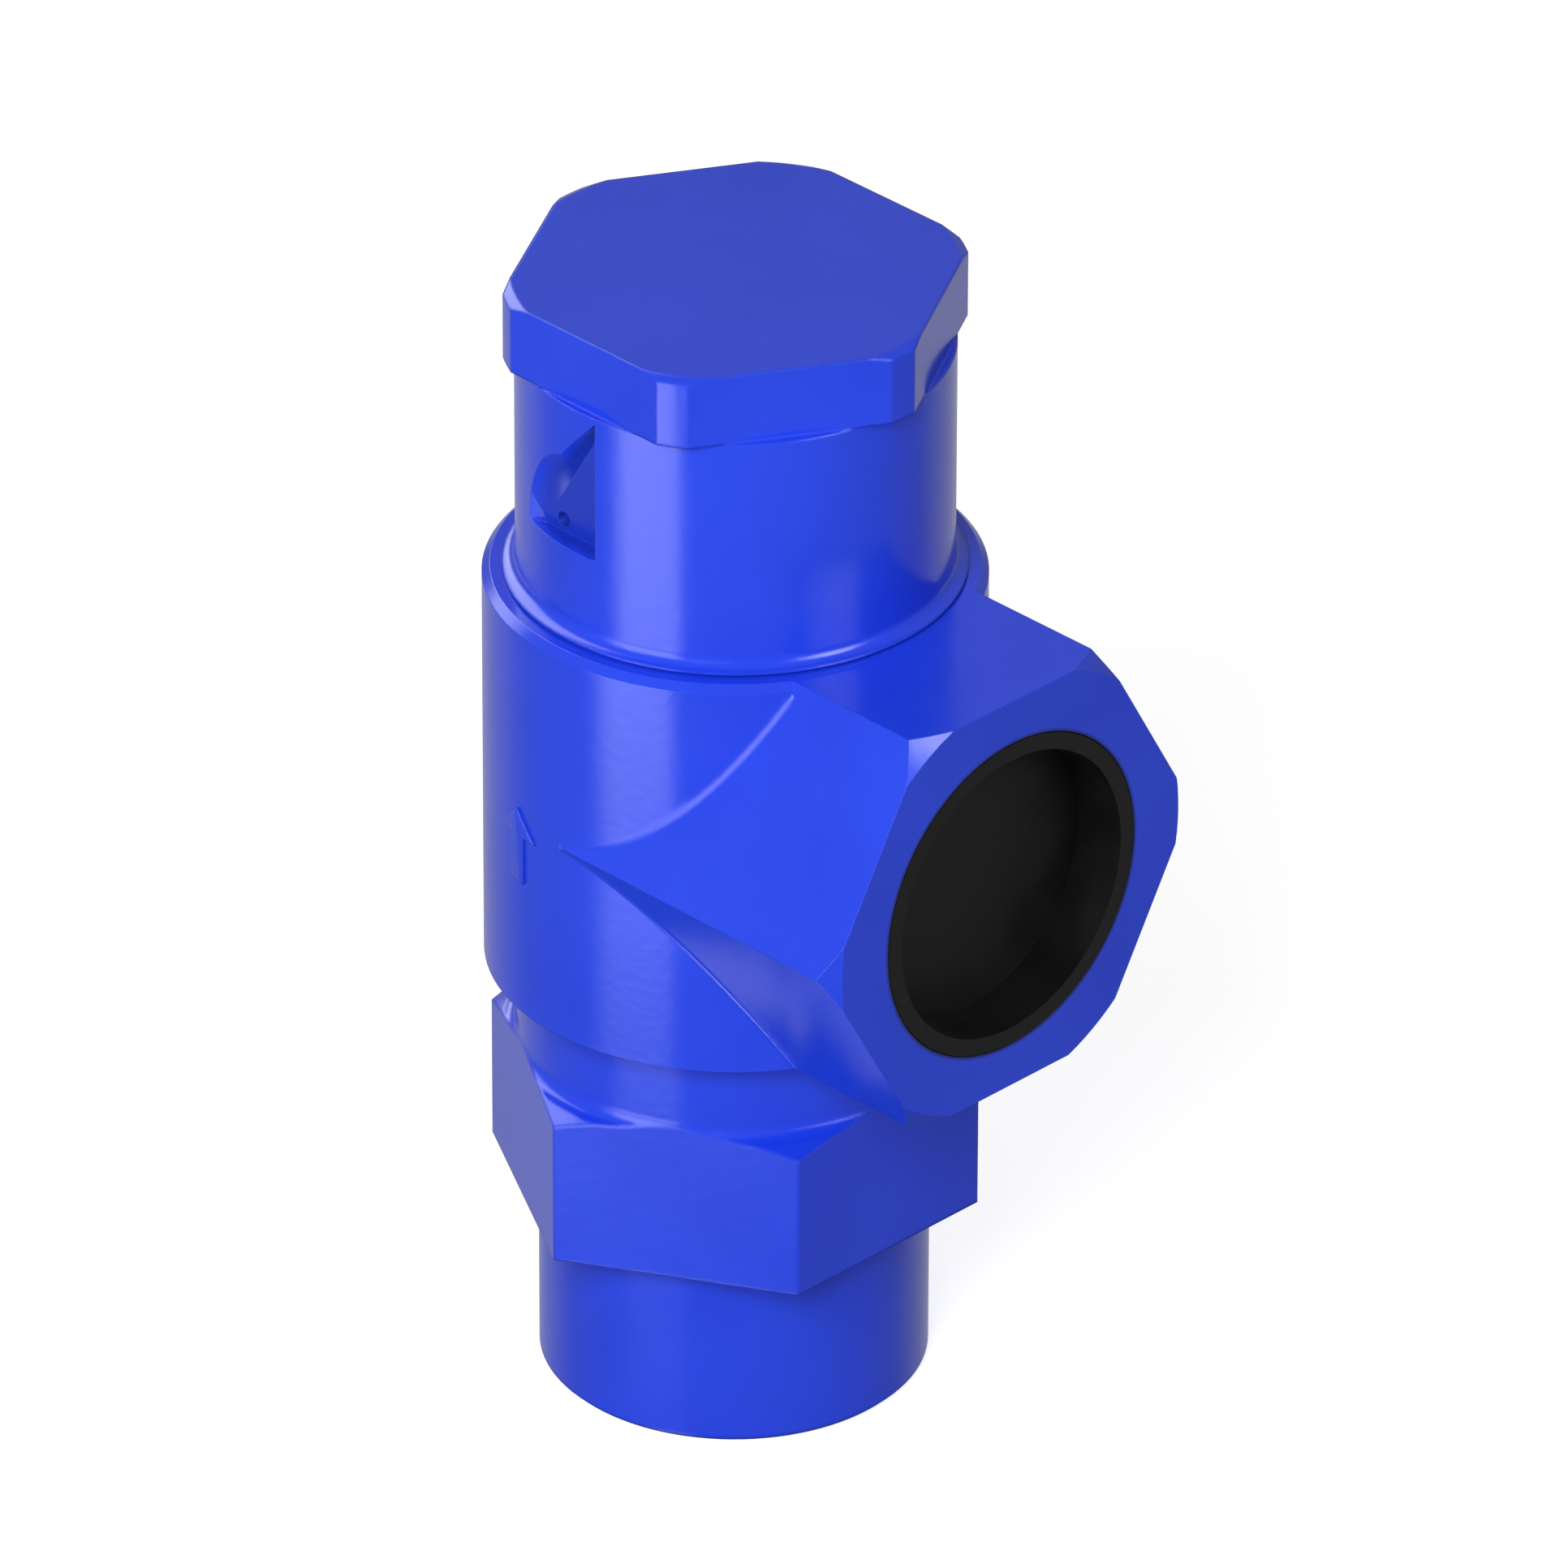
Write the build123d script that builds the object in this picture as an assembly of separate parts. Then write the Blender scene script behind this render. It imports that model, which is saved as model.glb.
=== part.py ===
from build123d import *
from math import sqrt
import os

os.makedirs("parts", exist_ok=True)

# Relief valve, angle pattern. Millimetres, +Z up the valve's axis, +X along the outlet.
# The origin is the centre of the inlet's end face.
# Male threads are drawn at their root and female threads at their major diameter.

# Body and outlet boss
body_af = 44.45             # across flats of the inlet hexagon and the outlet boss
body_undercut = 0.263       # how far the round body lies inside the hexagon's corners
body_rim_chamfer = 0.8
chamber_r = 17.0            # round the piston
outlet_reach = 39.1         # valve axis to the outlet's end face
boss_chamfer = 1.9          # radial width of the chamfer that rounds the boss's corners
boss_fade_length = 4.0      # along the outlet, where the boss's corners grow out of the body
boss_fade_depth = 0.3       # how far under the body's surface those corners start
boss_fillet = 0.9

# Outlet port, 1 in taper pipe thread drawn in two steps
port_mouth_r = 17.4
port_mouth_depth = 2.2
port_thread_r = 16.55
port_thread_length = 7.8
port_inner_thread_r = 16.2
port_inner_length = 9.5
port_hole_r = 12.5

# Inlet nozzle, 3/4 in taper pipe thread
inlet_r = 19.95
inlet_length = 20.6
inlet_rim_chamfer = 0.5
inlet_thread_r = 13.1
inlet_thread_length = 15.0
inlet_mouth_chamfer = 0.5
throat_r = 7.0
nozzle_hex_height = 17.6
nozzle_hex_turn = 30        # degrees, which puts two corners across the outlet
nozzle_hex_drop = 1.8       # how far the chamfer reaches down the hexagon's corners
neck_length = 8.1
neck_fillet = 1.5
neck_undercut = 0.1         # how far the neck lies inside the hexagon's flats
nozzle_thread_r = 17.05
nozzle_thread_length = 9.0
nozzle_nose_r = 12.5
seat_height = 13.5          # seat face above the body's lower end
seat_lip_height = 1.2
seat_lip_width = 1.3

# Gaskets
nozzle_gasket_thickness = 1.0
nozzle_gasket_inset = 0.8
cap_gasket_thickness = 1.5

# Cap
cap_r = 22.05
cap_wall = 4.0
cap_length = 33.1
cap_head_height = 7.6
cap_head_r = 23.5
cap_head_af = 42.2
cap_head_chamfer = 1.0      # radial width of the chamfer on the head's corners
cap_head_drop = 0.5         # how far that chamfer reaches down
cap_head_wall = 6.5
cap_foot_fillet = 1.3
cap_foot_lip = 0.25
cap_foot_gap = 0.2          # under the cap, because it pulls down on its gasket

# Notch in the cap for the seal wire
notch_depth = 2.3
notch_right = 2.4           # the notch's upright edge, along +X from the valve's axis
notch_bottom = 9.45         # above the cap's foot
notch_height = 15.5
notch_run = 9.0             # how far the notch's floor runs towards -X
notch_knee_run = 4.8        # the bend in its sloping side, from the upright edge
notch_knee_height = 7.4
notch_knee_rise = 4.3       # how much higher the bend lies where the notch opens
notch_toe = 0.3             # height of the floor's end at -X
notch_toe_rise = 13.2       # how much higher and further out that end lies where the notch opens
notch_toe_flare = 6.8
notch_foot_flare = 9.4
pin_hole_r = 0.8
pin_hole_height = 1.3       # above the notch's lower edge
pin_hole_run = 6.6          # from the notch's upright edge

# Spigot that carries the cap, and the threaded bore inside it
thread_depth = 0.95
thread_runout = 0.5
spigot_height = 11.0
spigot_wall = 3.0
gland_thread_length = 10.6

# Guide sleeve and piston
sleeve_wall = 1.95
sleeve_length = 11.8
sleeve_seat_height = 32.7   # above the body's lower end
sleeve_lip_width = 1.1
sleeve_lip_height = 2.0
piston_length = 27.2
piston_wall = 1.6
piston_floor = 4.5
vent_r = 1.2
vent_height = 3.5
vent_count = 4

# Seat disc and what holds it
disc_r = 9.6
disc_thickness = 3.2
disc_stand_out = 0.5
retainer_r = 5.8
retainer_thickness = 1.5
screw_r = 2.0
screw_head_r = 3.4
screw_head_height = 2.0
screw_socket_af = 2.5
screw_socket_depth = 1.2

# Spring and its plates
wire_d = 2.8
spring_turns = 8
spring_end_flat = 0.8
plate_thickness = 2.4
plate_spigot_height = 3.0
ball_r = 2.5
ball_gap = 0.08
ball_sink = 1.0             # how deep the ball sits in the plate and in the gland

# Adjusting gland and lock ring
gland_flange = 5.5
gland_wall = 2.2
gland_crown = 3.5
gland_hex_height = 8.0
gland_room = 1.9            # from the guide sleeve up to the gland
gland_travel_up = 3.0       # how far the gland can be backed out under the cap
lock_ring_height = 3.0
lock_slot_width = 3.0
lock_slot_depth = 1.5
lock_slot_count = 2

# Outlet plug
plug_rim_thickness = 2.0
plug_length = 9.8
plug_wall = 0.6
plug_recess_depth = 5.6
plug_draft = 0.4            # how much narrower the recess is at its floor

# Clearances, radial unless said otherwise
slide_gap = 0.05
fit_gap = 0.05
spring_gap = 0.5
plate_gap = 0.3
plug_gap = 0.1
plug_thread_gap = 0.45      # the plug's wall inside the outlet's thread
cap_room = 1.0              # between the cap and the gland at its highest
gasket_room = 0.5           # between the cap gasket and the gland's thread
cut_over = 1.0              # how far cutting shapes run past a face

# Levels and radii worked out from the sizes above
corner_r = body_af / sqrt(3)
body_r = corner_r - body_undercut
hex_bottom = inlet_length
hex_top = hex_bottom + nozzle_hex_height
neck_r = body_af / 2 - neck_undercut
neck_top = hex_top + neck_length
body_bottom = neck_top + nozzle_gasket_thickness
body_top = body_bottom + body_af
outlet_z = body_bottom + body_af / 2
seat_z = body_bottom + seat_height

spigot_major_r = cap_r - cap_wall - fit_gap
spigot_r = spigot_major_r - thread_depth
spigot_top = body_top + spigot_height
gland_major_r = spigot_major_r - spigot_wall
gland_r = gland_major_r - thread_depth

sleeve_r = gland_r - fit_gap
sleeve_bore_r = sleeve_r - sleeve_wall
sleeve_bottom = body_bottom + sleeve_seat_height
sleeve_top = sleeve_bottom + sleeve_length
piston_r = sleeve_bore_r - slide_gap
piston_bottom = seat_z + disc_stand_out
piston_top = piston_bottom + piston_length
disc_top = seat_z + disc_thickness
cup_floor = disc_top + piston_floor
cup_r = piston_r - piston_wall

spring_mean_r = cup_r - spring_gap - wire_d / 2
plate_spigot_r = spring_mean_r - wire_d / 2 - plate_gap
spring_bottom = cup_floor + plate_thickness
gland_bottom = sleeve_top + gland_room
gland_bore_r = cup_r
gland_body_r = gland_bore_r + gland_wall
gland_ring_bottom = gland_bottom + gland_flange

cap_bottom = body_top + cap_foot_gap
cap_top = cap_bottom + cap_length
cap_head_bottom = cap_top - cap_head_height
cap_bore_r = cap_r - cap_wall
cap_shoulder = spigot_top + cap_gasket_thickness
cap_ceiling = cap_top - cap_head_wall
cap_cavity_r = gland_major_r + cap_room

gland_top = cap_ceiling - gland_travel_up - cap_room
gland_ceiling = gland_top - gland_crown
spring_top = gland_ceiling - 2 * ball_r + 2 * ball_sink - plate_thickness

port_floor = outlet_reach - port_mouth_depth - port_thread_length - port_inner_length


# Helpers

def rod(radius, bottom, top):
    # upright cylinder on the valve's axis
    aligned = (Align.CENTER, Align.CENTER, Align.MIN)
    return Pos(0, 0, bottom) * Cylinder(radius, top - bottom, align=aligned)


def side_rod(radius, start, end, height):
    # cylinder along +X at a given height
    aligned = (Align.CENTER, Align.CENTER, Align.MIN)
    return Pos(start, 0, height) * Rot(0, 90, 0) * Cylinder(radius, end - start, align=aligned)


def hollow_arc(radius, height, size):
    # fillet outline from a ledge up to a wall of the given radius
    reach = size * (1 - sqrt(0.5))
    return ThreePointArc(
        (radius + size, height), (radius + reach, height + reach), (radius, height + size))


def turned(*pieces):
    # solid turned about Z from lines and arcs in (radius, height) that close on each other
    outline = [edge for piece in pieces for edge in (Plane.XZ * piece).edges()]
    return revolve(make_face(outline), Axis.Z)


def side_turned(points):
    # solid turned about the outlet's axis from (distance along X, radius) points
    outline = Plane.XZ * Polyline(*[(x, outlet_z + r) for x, r in points], close=True)
    return revolve(make_face(outline), Axis((0, 0, outlet_z), (1, 0, 0)))


def hexagon(across_flats, turn):
    return RegularPolygon(across_flats / 2, 6, major_radius=False, rotation=turn)


def hex_bar(across_flats, bottom, top, turn):
    return Pos(0, 0, bottom) * extrude(hexagon(across_flats, turn), top - bottom)


def write(name, solid):
    export_step(solid, f"parts/{name}.step")


# Valve body

def outlet_boss():
    # hexagon along +X with its flats up and down, its corners rounded off at the end face
    side_plane = Plane(origin=(0, 0, outlet_z), x_dir=(0, 1, 0), z_dir=(1, 0, 0))
    bar = extrude(side_plane * hexagon(body_af, 0), outlet_reach)
    clear_r = corner_r + cut_over
    return bar & side_turned([
        (0, 0), (0, body_r - boss_fade_depth), (boss_fade_length, clear_r),
        (outlet_reach - boss_chamfer - cut_over, clear_r),
        (outlet_reach, corner_r - boss_chamfer), (outlet_reach, 0),
    ])


def is_boss_seam(edge):
    # the curves where the boss's slanted flats leave the round body
    points = [edge @ t for t in (0.1, 0.5, 0.9)]
    on_body = all(abs(sqrt(p.X ** 2 + p.Y ** 2) - body_r) < 0.02 for p in points)
    return on_body and points[1].X > boss_fade_length and abs(points[0].Z - points[2].Z) > 1


def body_bores():
    # chamber from below, sleeve and gland bores from above, outlet port from the side
    chamber_top = sleeve_bottom - sleeve_lip_height
    thread_bore_r = nozzle_thread_r + thread_depth + fit_gap
    cuts = rod(thread_bore_r, body_bottom, body_bottom + nozzle_thread_length + thread_runout)
    cuts += rod(chamber_r, body_bottom, chamber_top)
    cuts += rod(sleeve_r - sleeve_lip_width, body_bottom, sleeve_bottom)
    cuts += rod(sleeve_r, sleeve_bottom, spigot_top)
    cuts += rod(gland_major_r + fit_gap, spigot_top - gland_thread_length, spigot_top)
    thread_start = outlet_reach - port_mouth_depth
    inner_start = thread_start - port_thread_length
    cuts += side_rod(port_mouth_r, thread_start, outlet_reach, outlet_z)
    cuts += side_rod(port_thread_r, inner_start, thread_start, outlet_z)
    cuts += side_rod(port_inner_thread_r, port_floor, inner_start, outlet_z)
    cuts += side_rod(port_hole_r, sleeve_r, port_floor, outlet_z)
    return cuts


def valve_body():
    barrel = rod(body_r, body_bottom, body_top)
    rim = barrel.edges().filter_by(GeomType.CIRCLE).sort_by(Axis.Z)[-1:]
    barrel = chamfer(rim, body_rim_chamfer)
    shell = barrel + outlet_boss()
    shell = fillet(shell.edges().filter_by(is_boss_seam), boss_fillet)
    shell += rod(spigot_r, body_top, spigot_top)
    return shell - body_bores()


# Inlet nozzle

def nozzle_hexagon():
    # hexagon bar with its upper corners and its neck turned, so the neck's fillet runs out in the flats
    flat_r = body_af / 2
    clear_r = corner_r + cut_over
    slope = nozzle_hex_drop / (corner_r - flat_r)
    fillet_r = neck_r + neck_fillet
    fillet_foot = hex_top - slope * (fillet_r - flat_r)
    shape = turned(
        Polyline((0, neck_top), (0, hex_bottom), (clear_r, hex_bottom),
                 (clear_r, hex_top - slope * (clear_r - flat_r)), (fillet_r, fillet_foot)),
        hollow_arc(neck_r, fillet_foot, neck_fillet),
        Polyline((neck_r, fillet_foot + neck_fillet), (neck_r, neck_top), (0, neck_top)),
    )
    return shape & hex_bar(body_af, hex_bottom, neck_top, nozzle_hex_turn)


def inlet_nozzle():
    inlet = rod(inlet_r, 0, hex_bottom)
    inlet = chamfer(inlet.edges().filter_by(GeomType.CIRCLE).sort_by(Axis.Z)[:1], inlet_rim_chamfer)
    nose_bottom = body_bottom + nozzle_thread_length
    lip_r = throat_r + seat_lip_width
    upper = turned(Polyline(
        (0, neck_top), (nozzle_thread_r, neck_top),
        (nozzle_thread_r, nose_bottom), (nozzle_nose_r, nose_bottom),
        (nozzle_nose_r, seat_z - 2 * seat_lip_height), (lip_r, seat_z - seat_lip_height),
        (lip_r, seat_z), (0, seat_z), close=True,
    ))
    cone_height = inlet_thread_r - throat_r
    bore = turned(Polyline(
        (0, 0), (inlet_thread_r + inlet_mouth_chamfer, 0), (inlet_thread_r, inlet_mouth_chamfer),
        (inlet_thread_r, inlet_mouth_chamfer + inlet_thread_length),
        (throat_r, inlet_mouth_chamfer + inlet_thread_length + cone_height),
        (throat_r, seat_z), (0, seat_z), close=True,
    ))
    return inlet + nozzle_hexagon() + upper - bore


def nozzle_gasket():
    return rod(neck_r - nozzle_gasket_inset, neck_top, body_bottom) - rod(
        nozzle_thread_r + thread_depth + fit_gap, neck_top, body_bottom)


# Guide sleeve, piston and seat disc

def guide_sleeve():
    return rod(sleeve_r, sleeve_bottom, sleeve_top) - rod(sleeve_bore_r, sleeve_bottom, sleeve_top)


def piston():
    shape = rod(piston_r, piston_bottom, piston_top)
    shape -= rod(cup_r, cup_floor, piston_top)
    shape -= rod(disc_r, piston_bottom, disc_top)
    shape -= rod(screw_r, disc_top, cup_floor)
    for i in range(vent_count):
        vent = side_rod(vent_r, 0, piston_r + cut_over, cup_floor + plate_thickness + vent_height)
        shape -= Rot(0, 0, 360 / vent_count * (i + 0.5)) * vent
    return shape


def seat_disc():
    return rod(disc_r, seat_z, disc_top) - rod(screw_r, seat_z, disc_top)


def disc_retainer():
    return rod(retainer_r, seat_z - retainer_thickness, seat_z) - rod(
        screw_r, seat_z - retainer_thickness, seat_z)


def disc_screw():
    head_top = seat_z - retainer_thickness
    head_bottom = head_top - screw_head_height
    head = rod(screw_head_r, head_bottom, head_top)
    head -= hex_bar(screw_socket_af, head_bottom, head_bottom + screw_socket_depth, 0)
    return head + rod(screw_r, head_top, cup_floor)


# Spring and plates

def spring_plate(face, away):
    # disc against the spring's end face, with a spigot inside the coil
    disc = rod(cup_r - plate_gap, min(face, face + away * plate_thickness),
               max(face, face + away * plate_thickness))
    spigot_end = face - away * plate_spigot_height
    return disc + rod(plate_spigot_r, min(face, spigot_end), max(face, spigot_end))


def ball(extra):
    # the thrust ball, or with some extra radius the dimple that it sits in
    centre = spring_top + plate_thickness + ball_r - ball_sink
    return Pos(0, 0, centre) * Sphere(ball_r + extra)


def upper_spring_plate():
    return spring_plate(spring_top, 1) - ball(ball_gap)


def spring():
    # open coil with both ends ground flat
    coil_bottom = spring_bottom + wire_d / 2 - spring_end_flat
    coil_top = spring_top - wire_d / 2 + spring_end_flat
    pitch = (coil_top - coil_bottom) / spring_turns
    path = Pos(0, 0, coil_bottom) * Helix(pitch, coil_top - coil_bottom, spring_mean_r)
    section = Plane(origin=path @ 0, z_dir=path % 0) * Circle(wire_d / 2)
    coil = sweep(section, path=path, is_frenet=True)
    return coil & rod(spring_mean_r + wire_d, spring_bottom, spring_top)


# Adjusting gland and lock ring

def adjusting_gland():
    shape = rod(gland_r, gland_bottom, gland_ring_bottom)
    shape += rod(gland_body_r, gland_ring_bottom, gland_top)
    wrench_af = gland_body_r * sqrt(3)
    keep = rod(gland_major_r, gland_bottom, gland_top - gland_hex_height)
    keep += hex_bar(wrench_af, gland_top - gland_hex_height, gland_top, 0)
    shape &= keep
    shape -= rod(gland_bore_r, gland_bottom, gland_ceiling)
    return shape - ball(ball_gap)


def lock_ring():
    top = gland_ring_bottom + lock_ring_height
    ring = rod(gland_r, gland_ring_bottom, top) - rod(gland_body_r + fit_gap, gland_ring_bottom, top)
    for i in range(lock_slot_count):
        slot = Pos(gland_r, 0, top) * Box(2 * gland_r, lock_slot_width, 2 * lock_slot_depth)
        ring -= Rot(0, 0, 180 * i + 90) * slot
    return ring


# Cap

def notch_outline(distance, points):
    # face of (x, z) points, upright in front of the valve's axis
    plane = Plane(origin=(0, -distance, 0), x_dir=(1, 0, 0), z_dir=(0, -1, 0))
    return plane * make_face(Polyline(*points, close=True))


def wire_notch():
    # pocket with a flat floor and an upright right side, its sloping side opening out towards -X
    low = cap_bottom + notch_bottom
    floor_end = notch_right - notch_run
    knee = notch_right - notch_knee_run
    inner = notch_outline(cap_r - notch_depth, [
        (notch_right, low), (notch_right, low + notch_height), (knee, low + notch_knee_height),
        (floor_end, low + notch_toe), (floor_end, low),
    ])
    outer = notch_outline(cap_r + cut_over, [
        (notch_right, low), (notch_right, low + notch_height),
        (knee, low + notch_knee_height + notch_knee_rise),
        (floor_end - notch_toe_flare, low + notch_toe + notch_toe_rise),
        (floor_end - notch_foot_flare, low),
    ])
    return loft([inner, outer], ruled=True)


def pin_hole():
    # drilled from the notch's floor through the rest of the skirt into the threaded bore
    floor_y = -(cap_r - notch_depth)
    aligned = (Align.CENTER, Align.CENTER, Align.MIN)
    drill = Rot(-90, 0, 0) * Cylinder(pin_hole_r, cap_wall + cut_over, align=aligned)
    height = cap_bottom + notch_bottom + pin_hole_height
    return Pos(notch_right - pin_hole_run, floor_y - cut_over, height) * drill


def cap_head():
    # hexagon with its corners turned round and chamfered at the top
    keep = turned(Polyline(
        (0, cap_head_bottom), (cap_head_r, cap_head_bottom), (cap_head_r, cap_top - cap_head_drop),
        (cap_head_r - cap_head_chamfer, cap_top), (0, cap_top), close=True,
    ))
    return hex_bar(cap_head_af, cap_head_bottom, cap_top, 0) & keep


def cap():
    foot_r = cap_r + cap_foot_fillet
    foot_top = cap_bottom + cap_foot_lip
    skirt = turned(
        Polyline((0, cap_head_bottom), (0, cap_bottom), (foot_r, cap_bottom), (foot_r, foot_top)),
        hollow_arc(cap_r, foot_top, cap_foot_fillet),
        Polyline((cap_r, foot_top + cap_foot_fillet), (cap_r, cap_head_bottom), (0, cap_head_bottom)),
    )
    shape = skirt + cap_head()
    shape -= rod(cap_bore_r, cap_bottom, cap_shoulder)
    shape -= rod(cap_cavity_r, cap_shoulder, cap_ceiling)
    shape -= wire_notch()
    return shape - pin_hole()


def cap_gasket():
    inner = gland_major_r + gasket_room
    return rod(spigot_r, spigot_top, cap_shoulder) - rod(inner, spigot_top, cap_shoulder)


# Outlet plug

def outlet_plug():
    body_outer_r = port_thread_r - plug_thread_gap
    face = outlet_reach
    back = face - plug_rim_thickness
    end = face - plug_length
    recess_r = body_outer_r - plug_wall
    return side_turned([
        (end, 0), (end, body_outer_r), (back, body_outer_r), (back, port_mouth_r - plug_gap),
        (face, port_mouth_r - plug_gap), (face, recess_r),
        (face - plug_recess_depth, recess_r - plug_draft), (face - plug_recess_depth, 0),
    ])


write("valve_body", valve_body())
write("inlet_nozzle", inlet_nozzle())
write("nozzle_gasket", nozzle_gasket())
write("guide_sleeve", guide_sleeve())
write("piston", piston())
write("seat_disc", seat_disc())
write("disc_retainer", disc_retainer())
write("disc_screw", disc_screw())
write("lower_spring_plate", spring_plate(spring_bottom, -1))
write("spring", spring())
write("upper_spring_plate", upper_spring_plate())
write("thrust_ball", ball(0))
write("adjusting_gland", adjusting_gland())
write("lock_ring", lock_ring())
write("cap_gasket", cap_gasket())
write("cap", cap())
write("outlet_plug", outlet_plug())
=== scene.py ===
import bmesh
import bpy
from math import cos, pi, radians, sin
from mathutils import Matrix, Vector


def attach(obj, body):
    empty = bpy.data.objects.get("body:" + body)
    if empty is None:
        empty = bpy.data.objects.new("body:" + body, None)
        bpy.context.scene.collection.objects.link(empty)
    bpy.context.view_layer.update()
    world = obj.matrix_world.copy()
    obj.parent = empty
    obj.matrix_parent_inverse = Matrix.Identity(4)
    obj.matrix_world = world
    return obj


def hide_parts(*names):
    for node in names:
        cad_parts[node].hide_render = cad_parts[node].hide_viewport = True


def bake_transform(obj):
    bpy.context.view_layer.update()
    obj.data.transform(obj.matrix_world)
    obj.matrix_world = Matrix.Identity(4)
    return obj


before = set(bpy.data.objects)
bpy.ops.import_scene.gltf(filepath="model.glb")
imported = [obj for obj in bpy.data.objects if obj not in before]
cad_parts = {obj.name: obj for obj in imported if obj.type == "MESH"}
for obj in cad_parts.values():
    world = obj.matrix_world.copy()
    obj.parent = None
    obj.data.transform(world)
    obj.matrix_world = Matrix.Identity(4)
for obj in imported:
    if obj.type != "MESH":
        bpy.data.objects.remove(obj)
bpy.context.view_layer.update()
mm = 0.001
inDegrees = 180 / pi
outletHeight = 69.525  # the outlet's axis above the inlet's end face, in millimetres
print("frame loaded:", len(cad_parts), "nodes")


class Wire:
    # a socket of a node tree that maths can be written with

    def __init__(self, graph, socket):
        self.graph = graph
        self.socket = socket

    def __add__(self, other):
        return self.graph.maths("ADD", self, other)

    def __radd__(self, other):
        return self.graph.maths("ADD", other, self)

    def __sub__(self, other):
        return self.graph.maths("SUBTRACT", self, other)

    def __rsub__(self, other):
        return self.graph.maths("SUBTRACT", other, self)

    def __mul__(self, other):
        return self.graph.maths("MULTIPLY", self, other)

    def __rmul__(self, other):
        return self.graph.maths("MULTIPLY", other, self)

    def __truediv__(self, other):
        return self.graph.maths("DIVIDE", self, other)

    def __rtruediv__(self, other):
        return self.graph.maths("DIVIDE", other, self)

    def __pow__(self, other):
        return self.graph.maths("POWER", self, other)

    def __rpow__(self, other):
        return self.graph.maths("POWER", other, self)


class Graph:
    # writes one shader, world or geometry tree

    def __init__(self, tree):
        self.tree = tree

    def feed(self, socket, value):
        if isinstance(value, Wire):
            self.tree.links.new(value.socket, socket)
        else:
            socket.default_value = value

    def node(self, kind, settings, values, out=0):
        # settings go on the node itself, values on its sockets; gives back one output
        made = self.tree.nodes.new(kind)
        for name, value in settings.items():
            if name == "stops":
                self.rampStops(made.color_ramp, value)
            else:
                setattr(made, name, value)
        for name, value in values.items():
            if isinstance(name, int):
                socket = made.inputs[name]
            else:
                socket = next(s for s in made.inputs if s.name == name and s.enabled)
            self.feed(socket, value)
        if out is None:
            return made
        if isinstance(out, int):
            return Wire(self, made.outputs[out])
        return Wire(self, next(s for s in made.outputs if s.name == out and s.enabled))

    def rampStops(self, ramp, stops):
        while len(ramp.elements) < len(stops):
            ramp.elements.new(0.5)
        for element, (place, shade) in zip(ramp.elements, stops):
            element.position = place
            element.color = (shade, shade, shade, 1) if isinstance(shade, float) else shade

    def maths(self, operation, *values):
        return self.node("ShaderNodeMath", {"operation": operation}, dict(enumerate(values)))

    def parts(self, vector):
        # the three numbers of a vector
        split = self.node("ShaderNodeSeparateXYZ", {}, {0: vector}, out=None)
        return [Wire(self, socket) for socket in split.outputs]

    def joined(self, x, y, z):
        return self.node("ShaderNodeCombineXYZ", {}, {0: x, 1: y, 2: z})

    def between(self, value, low, high):
        # 0 up to low, 1 from high, smooth between them
        return self.node("ShaderNodeMapRange", {"interpolation_type": "SMOOTHSTEP"},
                         {"Value": value, "From Min": low, "From Max": high})

    def band(self, value, start, end, soft):
        # 1 between start and end with soft edges
        return self.between(value, start - soft, start + soft) * (
            1 - self.between(value, end - soft, end + soft))

    def noise(self, vector, scale, detail=2.0, roughness=0.5):
        return self.node("ShaderNodeTexNoise", {}, {
            "Vector": vector, "Scale": scale, "Detail": detail, "Roughness": roughness})

    def mix(self, factor, first, second):
        return self.node("ShaderNodeMix", {"data_type": "RGBA"},
                         {"Factor": factor, "A": first, "B": second}, out="Result")


# Camera at the photograph's angle, distance and focal length, all measured from its edges

photoView = {
    "azimuth": 45.076, "elevation": 30.411, "roll": 0.21,
    "distance": 1809.082 * mm, "aimRight": 5.157 * mm, "aimUp": 56.821 * mm,
    "focalPixels": 21715.805, "imagePixels": 1932, "sensor": 36.0,
}


def makeCamera(v):
    turn, lift, roll = radians(v["azimuth"]), radians(v["elevation"]), radians(v["roll"])
    back = Vector((sin(turn) * cos(lift), -cos(turn) * cos(lift), sin(lift)))
    level = Vector((cos(turn), sin(turn), 0))
    upright = back.cross(level)
    right = level * cos(roll) + upright * sin(roll)
    up = upright * cos(roll) - level * sin(roll)
    data = bpy.data.cameras.new("photoCamera")
    data.sensor_width = v["sensor"]
    data.lens = v["focalPixels"] / v["imagePixels"] * v["sensor"]
    data.clip_start, data.clip_end = 0.05, 60
    camera = bpy.data.objects.new("photoCamera", data)
    bpy.context.scene.collection.objects.link(camera)
    spot = right * v["aimRight"] + up * v["aimUp"] + back * v["distance"]
    camera.matrix_world = Matrix.Translation(spot) @ Matrix((right, up, back)).transposed().to_4x4()
    bpy.context.scene.camera = camera


makeCamera(photoView)
bpy.context.scene.view_settings.view_transform = "Standard"
print("camera set")


# Studio: one soft key lamp near the camera, an even room, and three soft boxes that show
# only in reflections. Angles are in degrees, azimuths from +X towards +Y

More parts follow.
